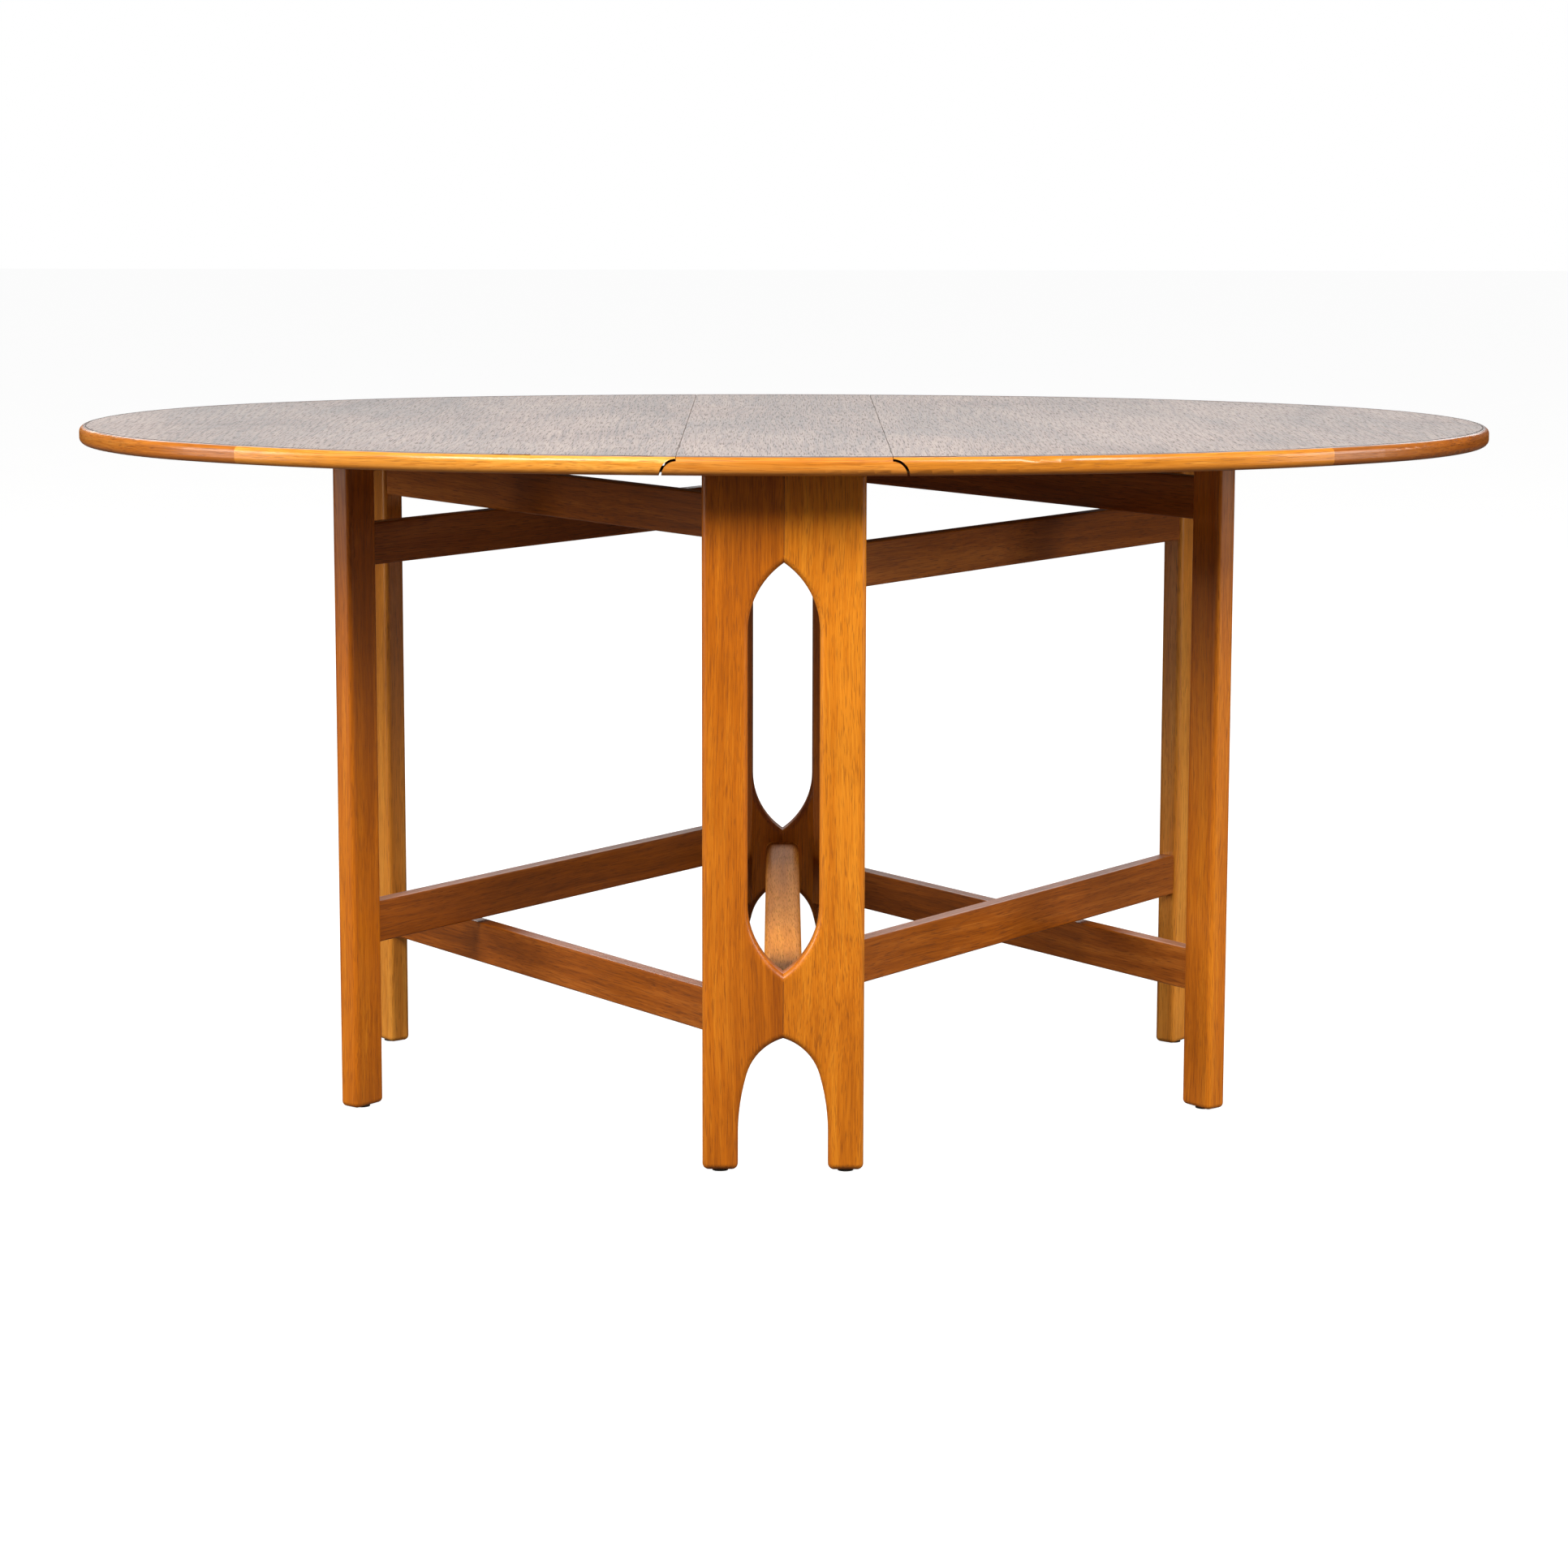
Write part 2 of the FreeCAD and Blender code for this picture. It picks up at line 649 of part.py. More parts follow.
def make_gate_rail(doc, v, gate, level, low, placement):
    """A rail from the stile to the leg, with a tenon at each end."""
    name = f"gate_{gate}_{level}_rail"
    start, stop = v.stile_wide / 2, gate_length(v) - v.leg_wide / 2
    body = add_box(doc, f"{name}_body", f"{stop - start}", "rail_thick", "rail_high")
    body.Placement = Placement(Vector(start, -v.rail_thick / 2, low), Rotation())
    rounded = add_fillet(doc, f"{name}_rounded", body, v.rail_round,
                         lambda e: runs_along(e, Vector(1, 0, 0)))
    tongue = add_box(doc, f"{name}_tongue", f"{stop - start} + 2 * tenon_long", "tenon_thick",
                     "rail_high - 2 * tenon_shoulder")
    corner = Vector(start - v.tenon_long, -v.tenon_thick / 2, low + v.tenon_shoulder)
    tongue.Placement = Placement(corner, Rotation())
    rail = add_boolean(doc, "Part::MultiFuse", name, [rounded, tongue])
    rail.Placement = placement
    label(rail, name)


def make_pivot_pins(doc, v, gate, placement):
    """The upper pin turns in the upper rail, the lower one in the pivot block."""
    name = f"gate_{gate}_pins"
    upper_start = v.stile_high - v.pin_depth
    upper_end = v.top_height - v.top_thick - v.upper_rail_thick + v.pin_into_base - 1
    lower_start = v.stile_low - v.block_gap - v.pin_into_base + 1
    lower_end = v.stile_low + v.pin_depth - 1
    pins = []
    for level, start, end in (("high", upper_start, upper_end), ("low", lower_start, lower_end)):
        pin = add_cylinder(doc, f"{name}_{level}", "pin_round", f"{end - start}")
        pin.Placement = Placement(Vector(0, 0, start), Rotation())
        pins.append(pin)
    group = doc.addObject("Part::Compound", f"{name}_group")
    group.Links = pins
    group.Placement = placement
    label(group, name)


def make_gate(doc, v, gate):
    placement = gate_placement(v, gate)
    make_leg(doc, v, gate, placement)
    make_stile(doc, v, gate, placement)
    for level, low in rail_heights(v, gate).items():
        make_gate_rail(doc, v, gate, level, low, placement)
    make_pivot_pins(doc, v, gate, placement)
    foot = placement.multVec(Vector(gate_length(v), 0, 0))
    make_glides(doc, v, f"gate_{gate}_glide", [(foot.x, foot.y)])


# ---------------------------------------------------------------- hinges


def hinge_centres(v):
    """(side, x, y) of every hinge's middle, on the rule joint's axis."""
    return [(side, side * v.seam_half, step * v.hinge_spacing)
            for side in SIDES.values() for step in (-1, 0, 1)]


def barrel(v, x, y_start, long, under, radius):
    return Part.makeCylinder(radius, long, Vector(x, y_start, under), Vector(0, 1, 0))


def flap(v, x, y, direction, reach, knuckles):
    """A hinge flap under the wood, reaching from the axis at x, with its knuckles' (start, end)."""
    under = v.top_height - v.top_thick
    half = v.hinge_long / 2

    def slab(near, far, y_start, y_end):
        low_x = min(x + direction * near, x + direction * far)
        corner = Vector(low_x, y_start, under - v.flap_thick)
        return Part.makeBox(far - near, y_end - y_start, v.flap_thick, corner)

    shape = slab(v.flap_clear, reach, y - half, y + half)
    for start, end in knuckles:
        shape = shape.fuse(slab(0, v.flap_clear, y + start, y + end))
        shape = shape.fuse(barrel(v, x, y + start, end - start, under, v.barrel_round))
    bore = barrel(v, x, y - half - 1, v.hinge_long + 2, under, v.hinge_pin_round + v.pin_clearance)
    return shape.cut(bore).removeSplitter()


def flap_screws(v, x, y, direction, reach):
    """Two countersunk screws through a flap, up into the wood."""
    under = v.top_height - v.top_thick
    screws = []
    for step in (-1, 1):
        spot = Vector(x + direction * reach * 0.66, y + step * v.hinge_long / 3, under - v.flap_thick)
        head = Part.makeCone(v.screw_head_round, v.screw_round, v.flap_thick, spot)
        shank = Part.makeCylinder(v.screw_round, v.screw_long, spot)
        screws.append(head.fuse(shank))
    return screws


def make_hinges(doc, v):
    """Back-flap hinges: outer knuckles on the fixed top's flap, the middle one on the leaf's."""
    half, third, gap = v.hinge_long / 2, v.hinge_long / 6, v.mortise_gap
    outer_knuckles = [(-half, -third - gap), (third + gap, half)]
    fixed, pins, fixed_screws = [], [], []
    moving = {side: [] for side in SIDES.values()}
    moving_screws = {side: [] for side in SIDES.values()}
    under = v.top_height - v.top_thick
    for side, x, y in hinge_centres(v):
        fixed.append(flap(v, x, y, -side, v.fixed_flap_reach, outer_knuckles))
        moving[side].append(flap(v, x, y, side, v.leaf_flap_reach, [(-third, third)]))
        pins.append(barrel(v, x, y - half, v.hinge_long, under, v.hinge_pin_round))
        fixed_screws += flap_screws(v, x, y, -side, v.fixed_flap_reach)
        moving_screws[side] += flap_screws(v, x, y, side, v.leaf_flap_reach)
    add_shape(doc, "hinge_fixed_flaps", Part.makeCompound(fixed))
    add_shape(doc, "hinge_pins", Part.makeCompound(pins))
    add_shape(doc, "hinge_fixed_screws", Part.makeCompound(fixed_screws))
    for side_name, side in SIDES.items():
        add_shape(doc, f"{side_name}_leaf_hinge_flaps", Part.makeCompound(moving[side]))
        add_shape(doc, f"{side_name}_leaf_hinge_screws", Part.makeCompound(moving_screws[side]))


def make_gate_stops(doc, v, side_name):
    """Wooden stops under a leaf, against which the two open gate legs come to rest."""
    under = v.top_height - v.top_thick
    reach = gate_length(v)
    stops = []
    for end in ENDS:
        placement = gate_placement(v, f"{end}_{side_name}")
        closes_counter_clockwise = SIDES[side_name] * ENDS[end] > 0
        near = v.leg_thick / 2 + v.stop_gap
        y = -near - v.stop_wide if closes_counter_clockwise else near
        stop = Part.makeBox(v.stop_long, v.stop_wide, v.stop_high,
                            Vector(reach - v.stop_long / 2, y, under - v.stop_high))
        stop.Placement = placement
        stops.append(stop)
    add_shape(doc, f"{side_name}_leaf_gate_stops", Part.makeCompound(stops))


# ---------------------------------------------------------------- table


class Sizes:
    """The sheet's cells as plain numbers."""

    def __init__(self, sheet):
        for name in SIZES:
            setattr(self, name, float(sheet.get(name)))


def kept_objects(doc):
    """The finished sub-parts: every solid object that no other object is made from."""
    kept = []
    for obj in doc.Objects:
        is_solid = obj.isDerivedFrom("Part::Feature") and not obj.isDerivedFrom("Sketcher::SketchObject")
        users = [user for user in obj.InList if not user.isDerivedFrom("Spreadsheet::Sheet")]
        if is_solid and not users:
            kept.append(obj)
    return kept


def check(doc, kept):
    for obj in doc.Objects:
        if "Invalid" in obj.State or "Error" in obj.State:
            raise RuntimeError(f"{obj.Label} failed: {obj.State}")
    for obj in kept:
        if obj.Shape.isNull() or not obj.Shape.isValid() or not obj.Shape.Solids:
            raise RuntimeError(f"{obj.Label} is not a valid solid")


def main():
    doc = FreeCAD.newDocument("DropLeafTable")
    v = Sizes(make_sheet(doc))
    blanks = top_blanks(v)
    make_fixed_top(doc, v, *blanks)
    for side_name in SIDES:
        make_leaf(doc, v, side_name, *blanks)
        make_gate_stops(doc, v, side_name)
        for end in ENDS:
            make_panel_board(doc, v, end, side_name)
            make_gate(doc, v, f"{end}_{side_name}")
    make_upper_rail(doc, v)
    make_stretcher(doc, v)
    make_pivot_blocks(doc, v)
    make_rail_screws(doc, v)
    make_hinges(doc, v)
    foot_x = (v.panel_half_wide + v.arch_half) / 2
    foot_y = v.panel_front - v.panel_thick / 2
    feet = [(side * foot_x, end * foot_y) for side in SIDES.values() for end in ENDS.values()]
    make_glides(doc, v, "panel_glides", feet)
    doc.recompute()
    kept = kept_objects(doc)
    check(doc, kept)
    os.makedirs("parts", exist_ok=True)
    for obj in kept:
        obj.Shape.exportStep(f"parts/{obj.Label}.step")
    print(len(kept), "sub-parts")


main()
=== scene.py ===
import json
import math

import bmesh
import bpy
from mathutils import Matrix, Vector


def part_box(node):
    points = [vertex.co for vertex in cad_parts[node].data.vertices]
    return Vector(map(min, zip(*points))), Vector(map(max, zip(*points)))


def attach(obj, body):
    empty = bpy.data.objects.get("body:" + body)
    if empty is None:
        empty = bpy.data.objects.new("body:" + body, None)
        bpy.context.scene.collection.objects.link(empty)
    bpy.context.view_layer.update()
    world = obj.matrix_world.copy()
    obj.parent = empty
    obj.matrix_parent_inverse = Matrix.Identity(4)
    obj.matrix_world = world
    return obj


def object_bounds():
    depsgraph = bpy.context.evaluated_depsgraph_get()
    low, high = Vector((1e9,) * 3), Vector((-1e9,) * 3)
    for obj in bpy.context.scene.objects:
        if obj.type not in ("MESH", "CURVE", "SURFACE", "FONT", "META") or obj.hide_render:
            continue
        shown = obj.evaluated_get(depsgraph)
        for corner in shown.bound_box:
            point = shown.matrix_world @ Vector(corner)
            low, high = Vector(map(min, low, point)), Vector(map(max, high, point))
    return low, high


# A drop-leaf table in oiled honey-coloured hardwood, with a figured veneer top in a paler lipping.
# Metres. +X is the long way of the table, +Y its back, +Z up.

# Camera: eye height and distance of somebody standing in front of the table.
EYE = Vector((-0.006, -4.191, 1.007))
PITCH_DOWN = math.radians(8.50)
YAW = 0.0019
ROLL = 0.0015
LENS_MM = 88.93
SENSOR_MM = 36.0
SHIFT_X = 0.0087
SHIFT_Y = -0.0328
FAR_CLIP = 100

# Radius of each dark line between boards, and how deep its middle lies under the surface.
RIM_RADIUS = 0.0009
RIM_SUNK = 0.0005
JOINT_RADIUS = 0.0004
JOINT_SUNK = 0.00028
BUTT_RADIUS = 0.0003

# Depths under the table's top at which the lipping's glue line and its painted shade are strongest
# and gone:
# the line of old glue fades downwards, and the painted shade of the lipping's downturned lower half
# grows downwards.
OLD_GLUE_FULL = 0.00025
OLD_GLUE_GONE = 0.00075
UNDER_SHADE_NONE = 0.007
UNDER_SHADE_FULL = 0.017

# How near two places are when they count as one, and how level a face is when it counts as flat.
WELD = 1e-6
TOUCHING = 1e-5
ON_SEAM = 1e-4
FLAT = 0.9

# How bright the studio is: the world outside the camera's view, and the floor.
DIM_WORLD = 0.07
FLOOR_SIZE = 60
FLOOR_GLOW = 0.945
FLOOR_BOUNCE = (0.11, 0.10, 0.09)
FLOOR_SHADES = [(0.3, 0.30), (0.7, 0.32)]

# Area lights: name, place, what it points at, width, height, watts, colour.
WARM = (1.0, 0.96, 0.90)
WHITE = (1.0, 1.0, 1.0)
UNDER_TOP = (0, 0, 0.4)
ON_TOP = (0, 0, 0.7)
SOFTBOXES = (
    ("left_key", (-1.9, -2.9, 3.5), UNDER_TOP, 1.5, 2.0, 205, WARM),
    ("right_key", (1.9, -2.9, 3.5), UNDER_TOP, 1.5, 2.0, 175, WARM),
    ("left_fill", (-3.7, -1.2, 1.4), UNDER_TOP, 1.4, 1.8, 72, WARM),
    ("right_fill", (3.7, -1.2, 1.4), UNDER_TOP, 1.4, 1.8, 62, WARM),
    ("back_card", (0, 4.5, 2.9), ON_TOP, 6.0, 2.4, 140, WHITE),
)

# Each pair is how often a figure of the wood repeats in a metre along the grain and across it.
WANDER = (1.6, 5.0)
BROAD_BANDS = (1.1, 11.0)
GROWTH_LINES = (2.2, 95.0)
FIBRE = (14.0, 750.0)
SHIMMER = (9.0, 22.0)
OPEN_PORES = (48.0, 1300.0)
VENEER_ARCHES = (0.22, 1.0)
VENEER_BANDS = (2.2, 8.0)
VENEER_LINES = (9.0, 260.0)
VENEER_PORES = (30.0, 700.0)

# The same for figures that are alike in all directions.
KNOTS = 11.0
HAND_WEAR = 5.5
VENEER_WEAR = 4.0
# The next scale is that of the blotches in the painted shade on the lipping's lower half.
UNDER_SHADE_BLOTCHES = 30.0

# Scale of the veneer's wave, and how far noise bends it into arches.
ARCH_BANDS = 34.0
ARCH_DISTORTION = 34.0

# What each figure counts for in a wood's tone.
BROAD_SHARE, GROWTH_SHARE, FIBRE_SHARE = 0.40, 0.42, 0.34
VENEER_ARCH_SHARE, VENEER_LINE_SHARE, VENEER_BAND_SHARE = 0.11, 0.46, 0.55

# How far a fully figured grain is pushed aside, and how much its growth lines are bent.
FIGURE_PUSH = 0.12
FIGURE_BEND = 0.5

# Depth of the grain's relief.
GRAIN_DEPTH = 0.0006

# A wood of this roughness or more has no coat of lacquer.
DULL = 0.45

# Grain directions that the woods run in.
ALONG_X = "along_x"
ALONG_Y = "along_y"
ALONG_Z = "along_z"
ROUND_EDGE = "round_edge"

GATES = ("front_left", "back_left", "front_right", "back_right")


# ---------------------------------------------------------------- node helper


class Graph:
    """A material whose nodes are added by kind, with their inputs given by name or index."""

    def __init__(self, name):
        self.material = bpy.data.materials.new(name)
        self.material.use_nodes = True
        self.tree = self.material.node_tree
        self.shader = self.tree.nodes["Principled BSDF"]

    def feed(self, socket, value):
        """Link the socket to another node, or set it. A colour is three numbers."""
        if isinstance(value, bpy.types.NodeSocket):
            self.tree.links.new(value, socket)
        elif socket.type == "RGBA":
            socket.default_value = (*value, 1)
        else:
            socket.default_value = value

    def set_input(self, node, key, value):
        self.feed(node.inputs[key], value)

    def add(self, kind, settings=None, inputs=None):
        node = self.tree.nodes.new("ShaderNode" + kind)
        for key, value in (settings or {}).items():
            setattr(node, key, value)
        for key, value in (inputs or {}).items():
            self.set_input(node, key, value)
        return node

    def math(self, operation, first, second=0.0, clamp=False):
        node = self.add("Math", {"operation": operation, "use_clamp": clamp}, {0: first, 1: second})
        return node.outputs[0]

    def rise(self, value, factor, start):
        """start plus factor times the value"""
        node = self.add("Math", {"operation": "MULTIPLY_ADD"}, {0: value, 1: factor, 2: start})
        return node.outputs[0]

    def vector_math(self, operation, first, second):
        node = self.add("VectorMath", {"operation": operation}, {0: first, 1: second})
        return node.outputs[0]

    def noise(self, coords, scale, detail=2.0, roughness=0.5, distortion=0.0):
        node = self.add("TexNoise", None, {"Vector": coords, "Scale": scale, "Detail": detail,
                                           "Roughness": roughness, "Distortion": distortion})
        return node.outputs["Fac"]

    def ramp(self, value, stops, smooth=False):
        """A colour ramp through (position, colour) stops. A plain number stands for a grey."""
        node = self.add("ValToRGB", None, {"Fac": value})
        band = node.color_ramp
        band.interpolation = "EASE" if smooth else "LINEAR"
        while len(band.elements) < len(stops):
            band.elements.new(0.5)
        for element, (position, colour) in zip(band.elements, stops):
            element.position = position
            grey = isinstance(colour, (int, float))
            element.color = (colour, colour, colour, 1) if grey else (*colour, 1)
        return node.outputs["Color"]

    def mix(self, factor, first, second, blend="MIX"):
        node = self.add("Mix", {"data_type": "RGBA", "blend_type": blend}, {0: factor})
        colours = [socket for socket in node.inputs if socket.type == "RGBA"]
        for socket, value in zip(colours, (first, second)):
            self.feed(socket, value)
        return next(socket for socket in node.outputs if socket.type == "RGBA")

    def bump(self, height, strength, distance):
        node = self.add("Bump", None, {"Height": height, "Strength": strength, "Distance": distance})
        self.set_input(self.shader, "Normal", node.outputs["Normal"])


# ---------------------------------------------------------------- woods


def grain_coords(graph, direction, seed):
    """Coordinates in metres whose X runs along the grain. direction is a name or a plan angle."""
    place = graph.add("TexCoord").outputs["Object"]
    shift = Vector((seed * 3.71 % 5, seed * 1.93 % 5, seed * 2.57 % 5))
    if direction == ROUND_EDGE:
        return round_edge_coords(graph, place, shift)
    turns = {ALONG_X: (0, 0, 0), ALONG_Y: (0, 0, -math.pi / 2), ALONG_Z: (0, math.pi / 2, 0)}
    turn = turns[direction] if direction in turns else (0, 0, -direction)
    mapping = graph.add("Mapping", {"vector_type": "POINT"},
                        {"Vector": place, "Rotation": turn, "Location": shift})
    return mapping.outputs["Vector"]


def round_edge_coords(graph, place, shift):
    """Coordinates that follow the rim of the oval top: along it, out of it, and up."""
    low, high = CAD_BOX
    half_long, half_deep = high[0], high[1]
    parts = graph.add("SeparateXYZ", None, {"Vector": place})
    across = graph.math("DIVIDE", parts.outputs["X"], half_long)
    deep = graph.math("DIVIDE", parts.outputs["Y"], half_deep)
    angle = graph.math("ARCTAN2", deep, across)
    along = graph.math("MULTIPLY", angle, (half_long + half_deep) / 2)
    squares = graph.math("ADD", graph.math("MULTIPLY", across, across),
                         graph.math("MULTIPLY", deep, deep))
    out = graph.math("MULTIPLY", graph.math("SQRT", squares), half_deep)
    joined = graph.add("CombineXYZ", None, {"X": along, "Y": out, "Z": parts.outputs["Z"]})
    return graph.vector_math("ADD", joined.outputs[0], shift)


def stretch(graph, coords, repeats):
    along, across = repeats
    return graph.vector_math("MULTIPLY", coords, Vector((along, across, across)))


def darker(colour, share):
    return [channel * share for channel in colour]


def wood(name, direction, seed, tones, figure=0.3, pores=0.6, gloss=0.36, marks=0.0,
         coat=0.3, rim=False):
    """A finished hardwood.

    tones are its dark, middle and light colours; figure is how much its grain swirls; pores is
    how dark the open pores are; gloss is its roughness; marks is how dark its pin knots are; coat
    is how much polish lies over it; rim is whether it has the lipping's glue line and the painted
    shade on its lower half."""
    graph = Graph(name)
    coords = grain_coords(graph, direction, seed)
    dark, middle, light = tones

    # slow wander of the grain, so that no line is straight
    wander = graph.add("TexNoise", None, {"Vector": stretch(graph, coords, WANDER), "Scale": 1.0,
                                          "Detail": 2.0, "Roughness": 0.5})
    offset = graph.vector_math("SUBTRACT", wander.outputs["Color"], Vector((0.5, 0.5, 0.5)))
    aside = figure * FIGURE_PUSH
    push = graph.vector_math("MULTIPLY", offset, Vector((0.0, aside, aside)))
    bent = graph.vector_math("ADD", coords, push)

    # broad bands, growth lines and fine fibre, all drawn out along the grain
    broad = graph.noise(stretch(graph, bent, BROAD_BANDS), 1.0, 2.0, 0.5)
    growth = graph.noise(stretch(graph, bent, GROWTH_LINES), 1.0, 4.0, 0.62, figure * FIGURE_BEND)
    fibre = graph.noise(stretch(graph, bent, FIBRE), 1.0, 2.0, 0.6)
    weighted = graph.math("ADD", graph.math("MULTIPLY", broad, BROAD_SHARE),
                          graph.math("MULTIPLY", growth, GROWTH_SHARE))
    tone = graph.math("ADD", weighted, graph.math("MULTIPLY", fibre, FIBRE_SHARE))
    colour = graph.ramp(tone, [(0.42, dark), (0.58, middle), (0.74, light)])

    # cross-grain shimmer, as light catches the fibres' ups and downs
    shimmer = graph.noise(stretch(graph, bent, SHIMMER), 1.0, 2.0, 0.5)
    colour = graph.mix(0.35, colour, graph.ramp(shimmer, [(0.35, 0.72), (0.65, 1.0)]), "MULTIPLY")

    # open pores: short dark dashes
    dash = graph.noise(stretch(graph, bent, OPEN_PORES), 1.0, 1.0, 0.5)
    dashes = graph.ramp(dash, [(0.56, 0.0), (0.66, 1.0)])
    colour = graph.mix(graph.math("MULTIPLY", dashes, pores), colour, darker(dark, 0.5))

    if marks:
        knots = graph.add("TexVoronoi", {"feature": "F1"}, {"Vector": coords, "Scale": KNOTS})
        spot = graph.ramp(knots.outputs["Distance"], [(0.018, 1.0), (0.05, 0.0)], True)
        colour = graph.mix(graph.math("MULTIPLY", spot, marks), colour, darker(dark, 0.3))

    if rim:
        colour = darken_rim(graph, colour, dark)

    # hand wear: slow changes of tone and of gloss
    worn = graph.noise(coords, HAND_WEAR, 3.0, 0.6)
    colour = graph.mix(0.25, colour, graph.ramp(worn, [(0.3, 0.78), (0.7, 1.0)]), "MULTIPLY")
    rough = graph.rise(worn, 0.16, gloss - 0.08)
    rough_with_pores = graph.math("ADD", rough, graph.math("MULTIPLY", dashes, 0.12))

    graph.set_input(graph.shader, "Base Color", colour)
    graph.set_input(graph.shader, "Roughness", rough_with_pores)
    graph.shader.inputs["Specular IOR Level"].default_value = 0.28 if gloss < DULL else 0.12
    graph.shader.inputs["Coat Weight"].default_value = coat if gloss < DULL else 0.0
    graph.shader.inputs["Coat Roughness"].default_value = 0.20
    height = graph.math("SUBTRACT", graph.math("MULTIPLY", growth, 0.5), dashes)
    graph.bump(height, 0.12, GRAIN_DEPTH)
    return graph.material


def darken_rim(graph, colour, dark):
    """Old glue in a line along the top of the lipping, and painted shade on its lower half, where
    its rounding turns down away from the light.
    """
    top = CAD_BOX[1][2]
    place = graph.add("TexCoord").outputs["Object"]
    height = graph.add("SeparateXYZ", None, {"Vector": place}).outputs["Z"]
    above = graph.math("SUBTRACT", height, top - OLD_GLUE_GONE)
    glue = graph.math("DIVIDE", above, OLD_GLUE_GONE - OLD_GLUE_FULL, True)
    lined = graph.mix(graph.math("MULTIPLY", glue, 0.88), colour, darker(dark, 0.14))
    # painted shade: the lipping darkens in blotches towards its bottom, where its rounding turns
    # down away from the light
    below = graph.math("SUBTRACT", top - UNDER_SHADE_NONE, height)
    under_shade = graph.math("DIVIDE", below, UNDER_SHADE_FULL - UNDER_SHADE_NONE, True)
    shade_blotches = graph.rise(graph.noise(place, UNDER_SHADE_BLOTCHES, 3.0, 0.6), 0.6, 0.5)
    under_shade = graph.math("MULTIPLY", under_shade, shade_blotches)
    return graph.mix(graph.math("MULTIPLY", under_shade, 0.9), lined, dark)


# Tones in linear light: dark, middle, light.
HONEY = ((0.34, 0.080, 0.002), (0.54, 0.145, 0.004), (0.70, 0.230, 0.012))
PALE_HONEY = ((0.40, 0.125, 0.010), (0.66, 0.240, 0.022), (0.86, 0.400, 0.070))
BROWN_HONEY = ((0.18, 0.042, 0.002), (0.32, 0.080, 0.004), (0.46, 0.140, 0.016))
TAN = ((0.44, 0.140, 0.012), (0.64, 0.225, 0.022), (0.80, 0.340, 0.050))
TOP_BROWN = ((0.062, 0.032, 0.022), (0.150, 0.086, 0.062), (0.245, 0.158, 0.122))
BOARD = ((0.30, 0.19, 0.10), (0.42, 0.28, 0.16), (0.52, 0.36, 0.22))


def tinted(tones, tint):
    return tuple(tuple(channel * factor for channel, factor in zip(tone, tint)) for tone in tones)


def veneer(name, seed):
    """Figured veneer under satin lacquer: growth lines in long arches, and dark open pores."""
    graph = Graph(name)
    coords = grain_coords(graph, ALONG_Y, seed)
    dark, middle, light = TOP_BROWN
    arches = graph.add("TexWave",
                       {"wave_type": "BANDS", "bands_direction": "Y", "wave_profile": "SIN"},
                       {"Vector": stretch(graph, coords, VENEER_ARCHES), "Scale": ARCH_BANDS,
                        "Distortion": ARCH_DISTORTION, "Detail": 3.0, "Detail Scale": 0.22,
                        "Detail Roughness": 0.55})
    arches = graph.ramp(arches.outputs["Fac"], [(0.0, 0.0), (0.30, 0.80), (1.0, 1.0)])
    growth = graph.noise(stretch(graph, coords, VENEER_LINES), 1.0, 4.0, 0.7, 0.8)
    broad = graph.noise(stretch(graph, coords, VENEER_BANDS), 1.0, 3.0, 0.6, 0.8)
    mixed = graph.math("ADD", graph.math("MULTIPLY", arches, VENEER_ARCH_SHARE),
                       graph.math("MULTIPLY", growth, VENEER_LINE_SHARE))
    tone = graph.math("ADD", mixed, graph.math("MULTIPLY", broad, VENEER_BAND_SHARE))
    colour = graph.ramp(tone, [(0.46, dark), (0.60, middle), (0.74, light)])
    dash = graph.noise(stretch(graph, coords, VENEER_PORES), 1.0, 2.0, 0.6)
    dashes = graph.ramp(dash, [(0.54, 0.0), (0.64, 1.0)])
    colour = graph.mix(graph.math("MULTIPLY", dashes, 0.75), colour, darker(dark, 0.4))
    rough = graph.rise(graph.noise(coords, VENEER_WEAR, 3.0, 0.6), 0.16, 0.30)
    graph.set_input(graph.shader, "Base Color", colour)
    graph.set_input(graph.shader, "Roughness",
                    graph.math("ADD", rough, graph.math("MULTIPLY", dashes, 0.20)))
    graph.shader.inputs["IOR"].default_value = 1.55
    height = graph.math("SUBTRACT", graph.math("MULTIPLY", tone, 0.8), dashes)
    graph.bump(height, 0.16, GRAIN_DEPTH)
    return graph.material


def metal(name, colour, roughness):
    """Aged metal: slow tarnish over fine drawn scratches."""
    graph = Graph(name)
    place = graph.add("TexCoord").outputs["Object"]
    tarnish = graph.noise(place, 90.0, 4.0, 0.6)
    scratches = graph.noise(graph.vector_math("MULTIPLY", place, Vector((90, 2500, 90))), 1.0, 2.0)
    tint = graph.ramp(tarnish, [(0.35, darker(colour, 0.45)), (0.65, colour)])
    graph.set_input(graph.shader, "Base Color", tint)
    graph.set_input(graph.shader, "Roughness", graph.rise(scratches, 0.3, roughness))
    graph.set_input(graph.shader, "Metallic", 1.0)
    graph.bump(scratches, 0.1, 0.0002)
    return graph.material


def plastic(name, colour):
    """Dull moulded plastic with scuffs."""
    graph = Graph(name)
    place = graph.add("TexCoord").outputs["Object"]
    scuff = graph.noise(place, 400.0, 4.0, 0.7)
    tint = graph.ramp(scuff, [(0.4, colour), (0.75, [min(1, c * 2.5) for c in colour])])
    graph.set_input(graph.shader, "Base Color", tint)
    graph.set_input(graph.shader, "Roughness", graph.rise(scuff, 0.3, 0.4))
    graph.bump(scuff, 0.15, 0.0003)
    return graph.material


# ---------------------------------------------------------------- dressing the CAD nodes


def dress(node, material):
    mesh = frame["nodes"][node].data
    if not mesh.materials:
        mesh.materials.append(material)
    for i in range(len(mesh.materials)):
        mesh.materials[i] = material


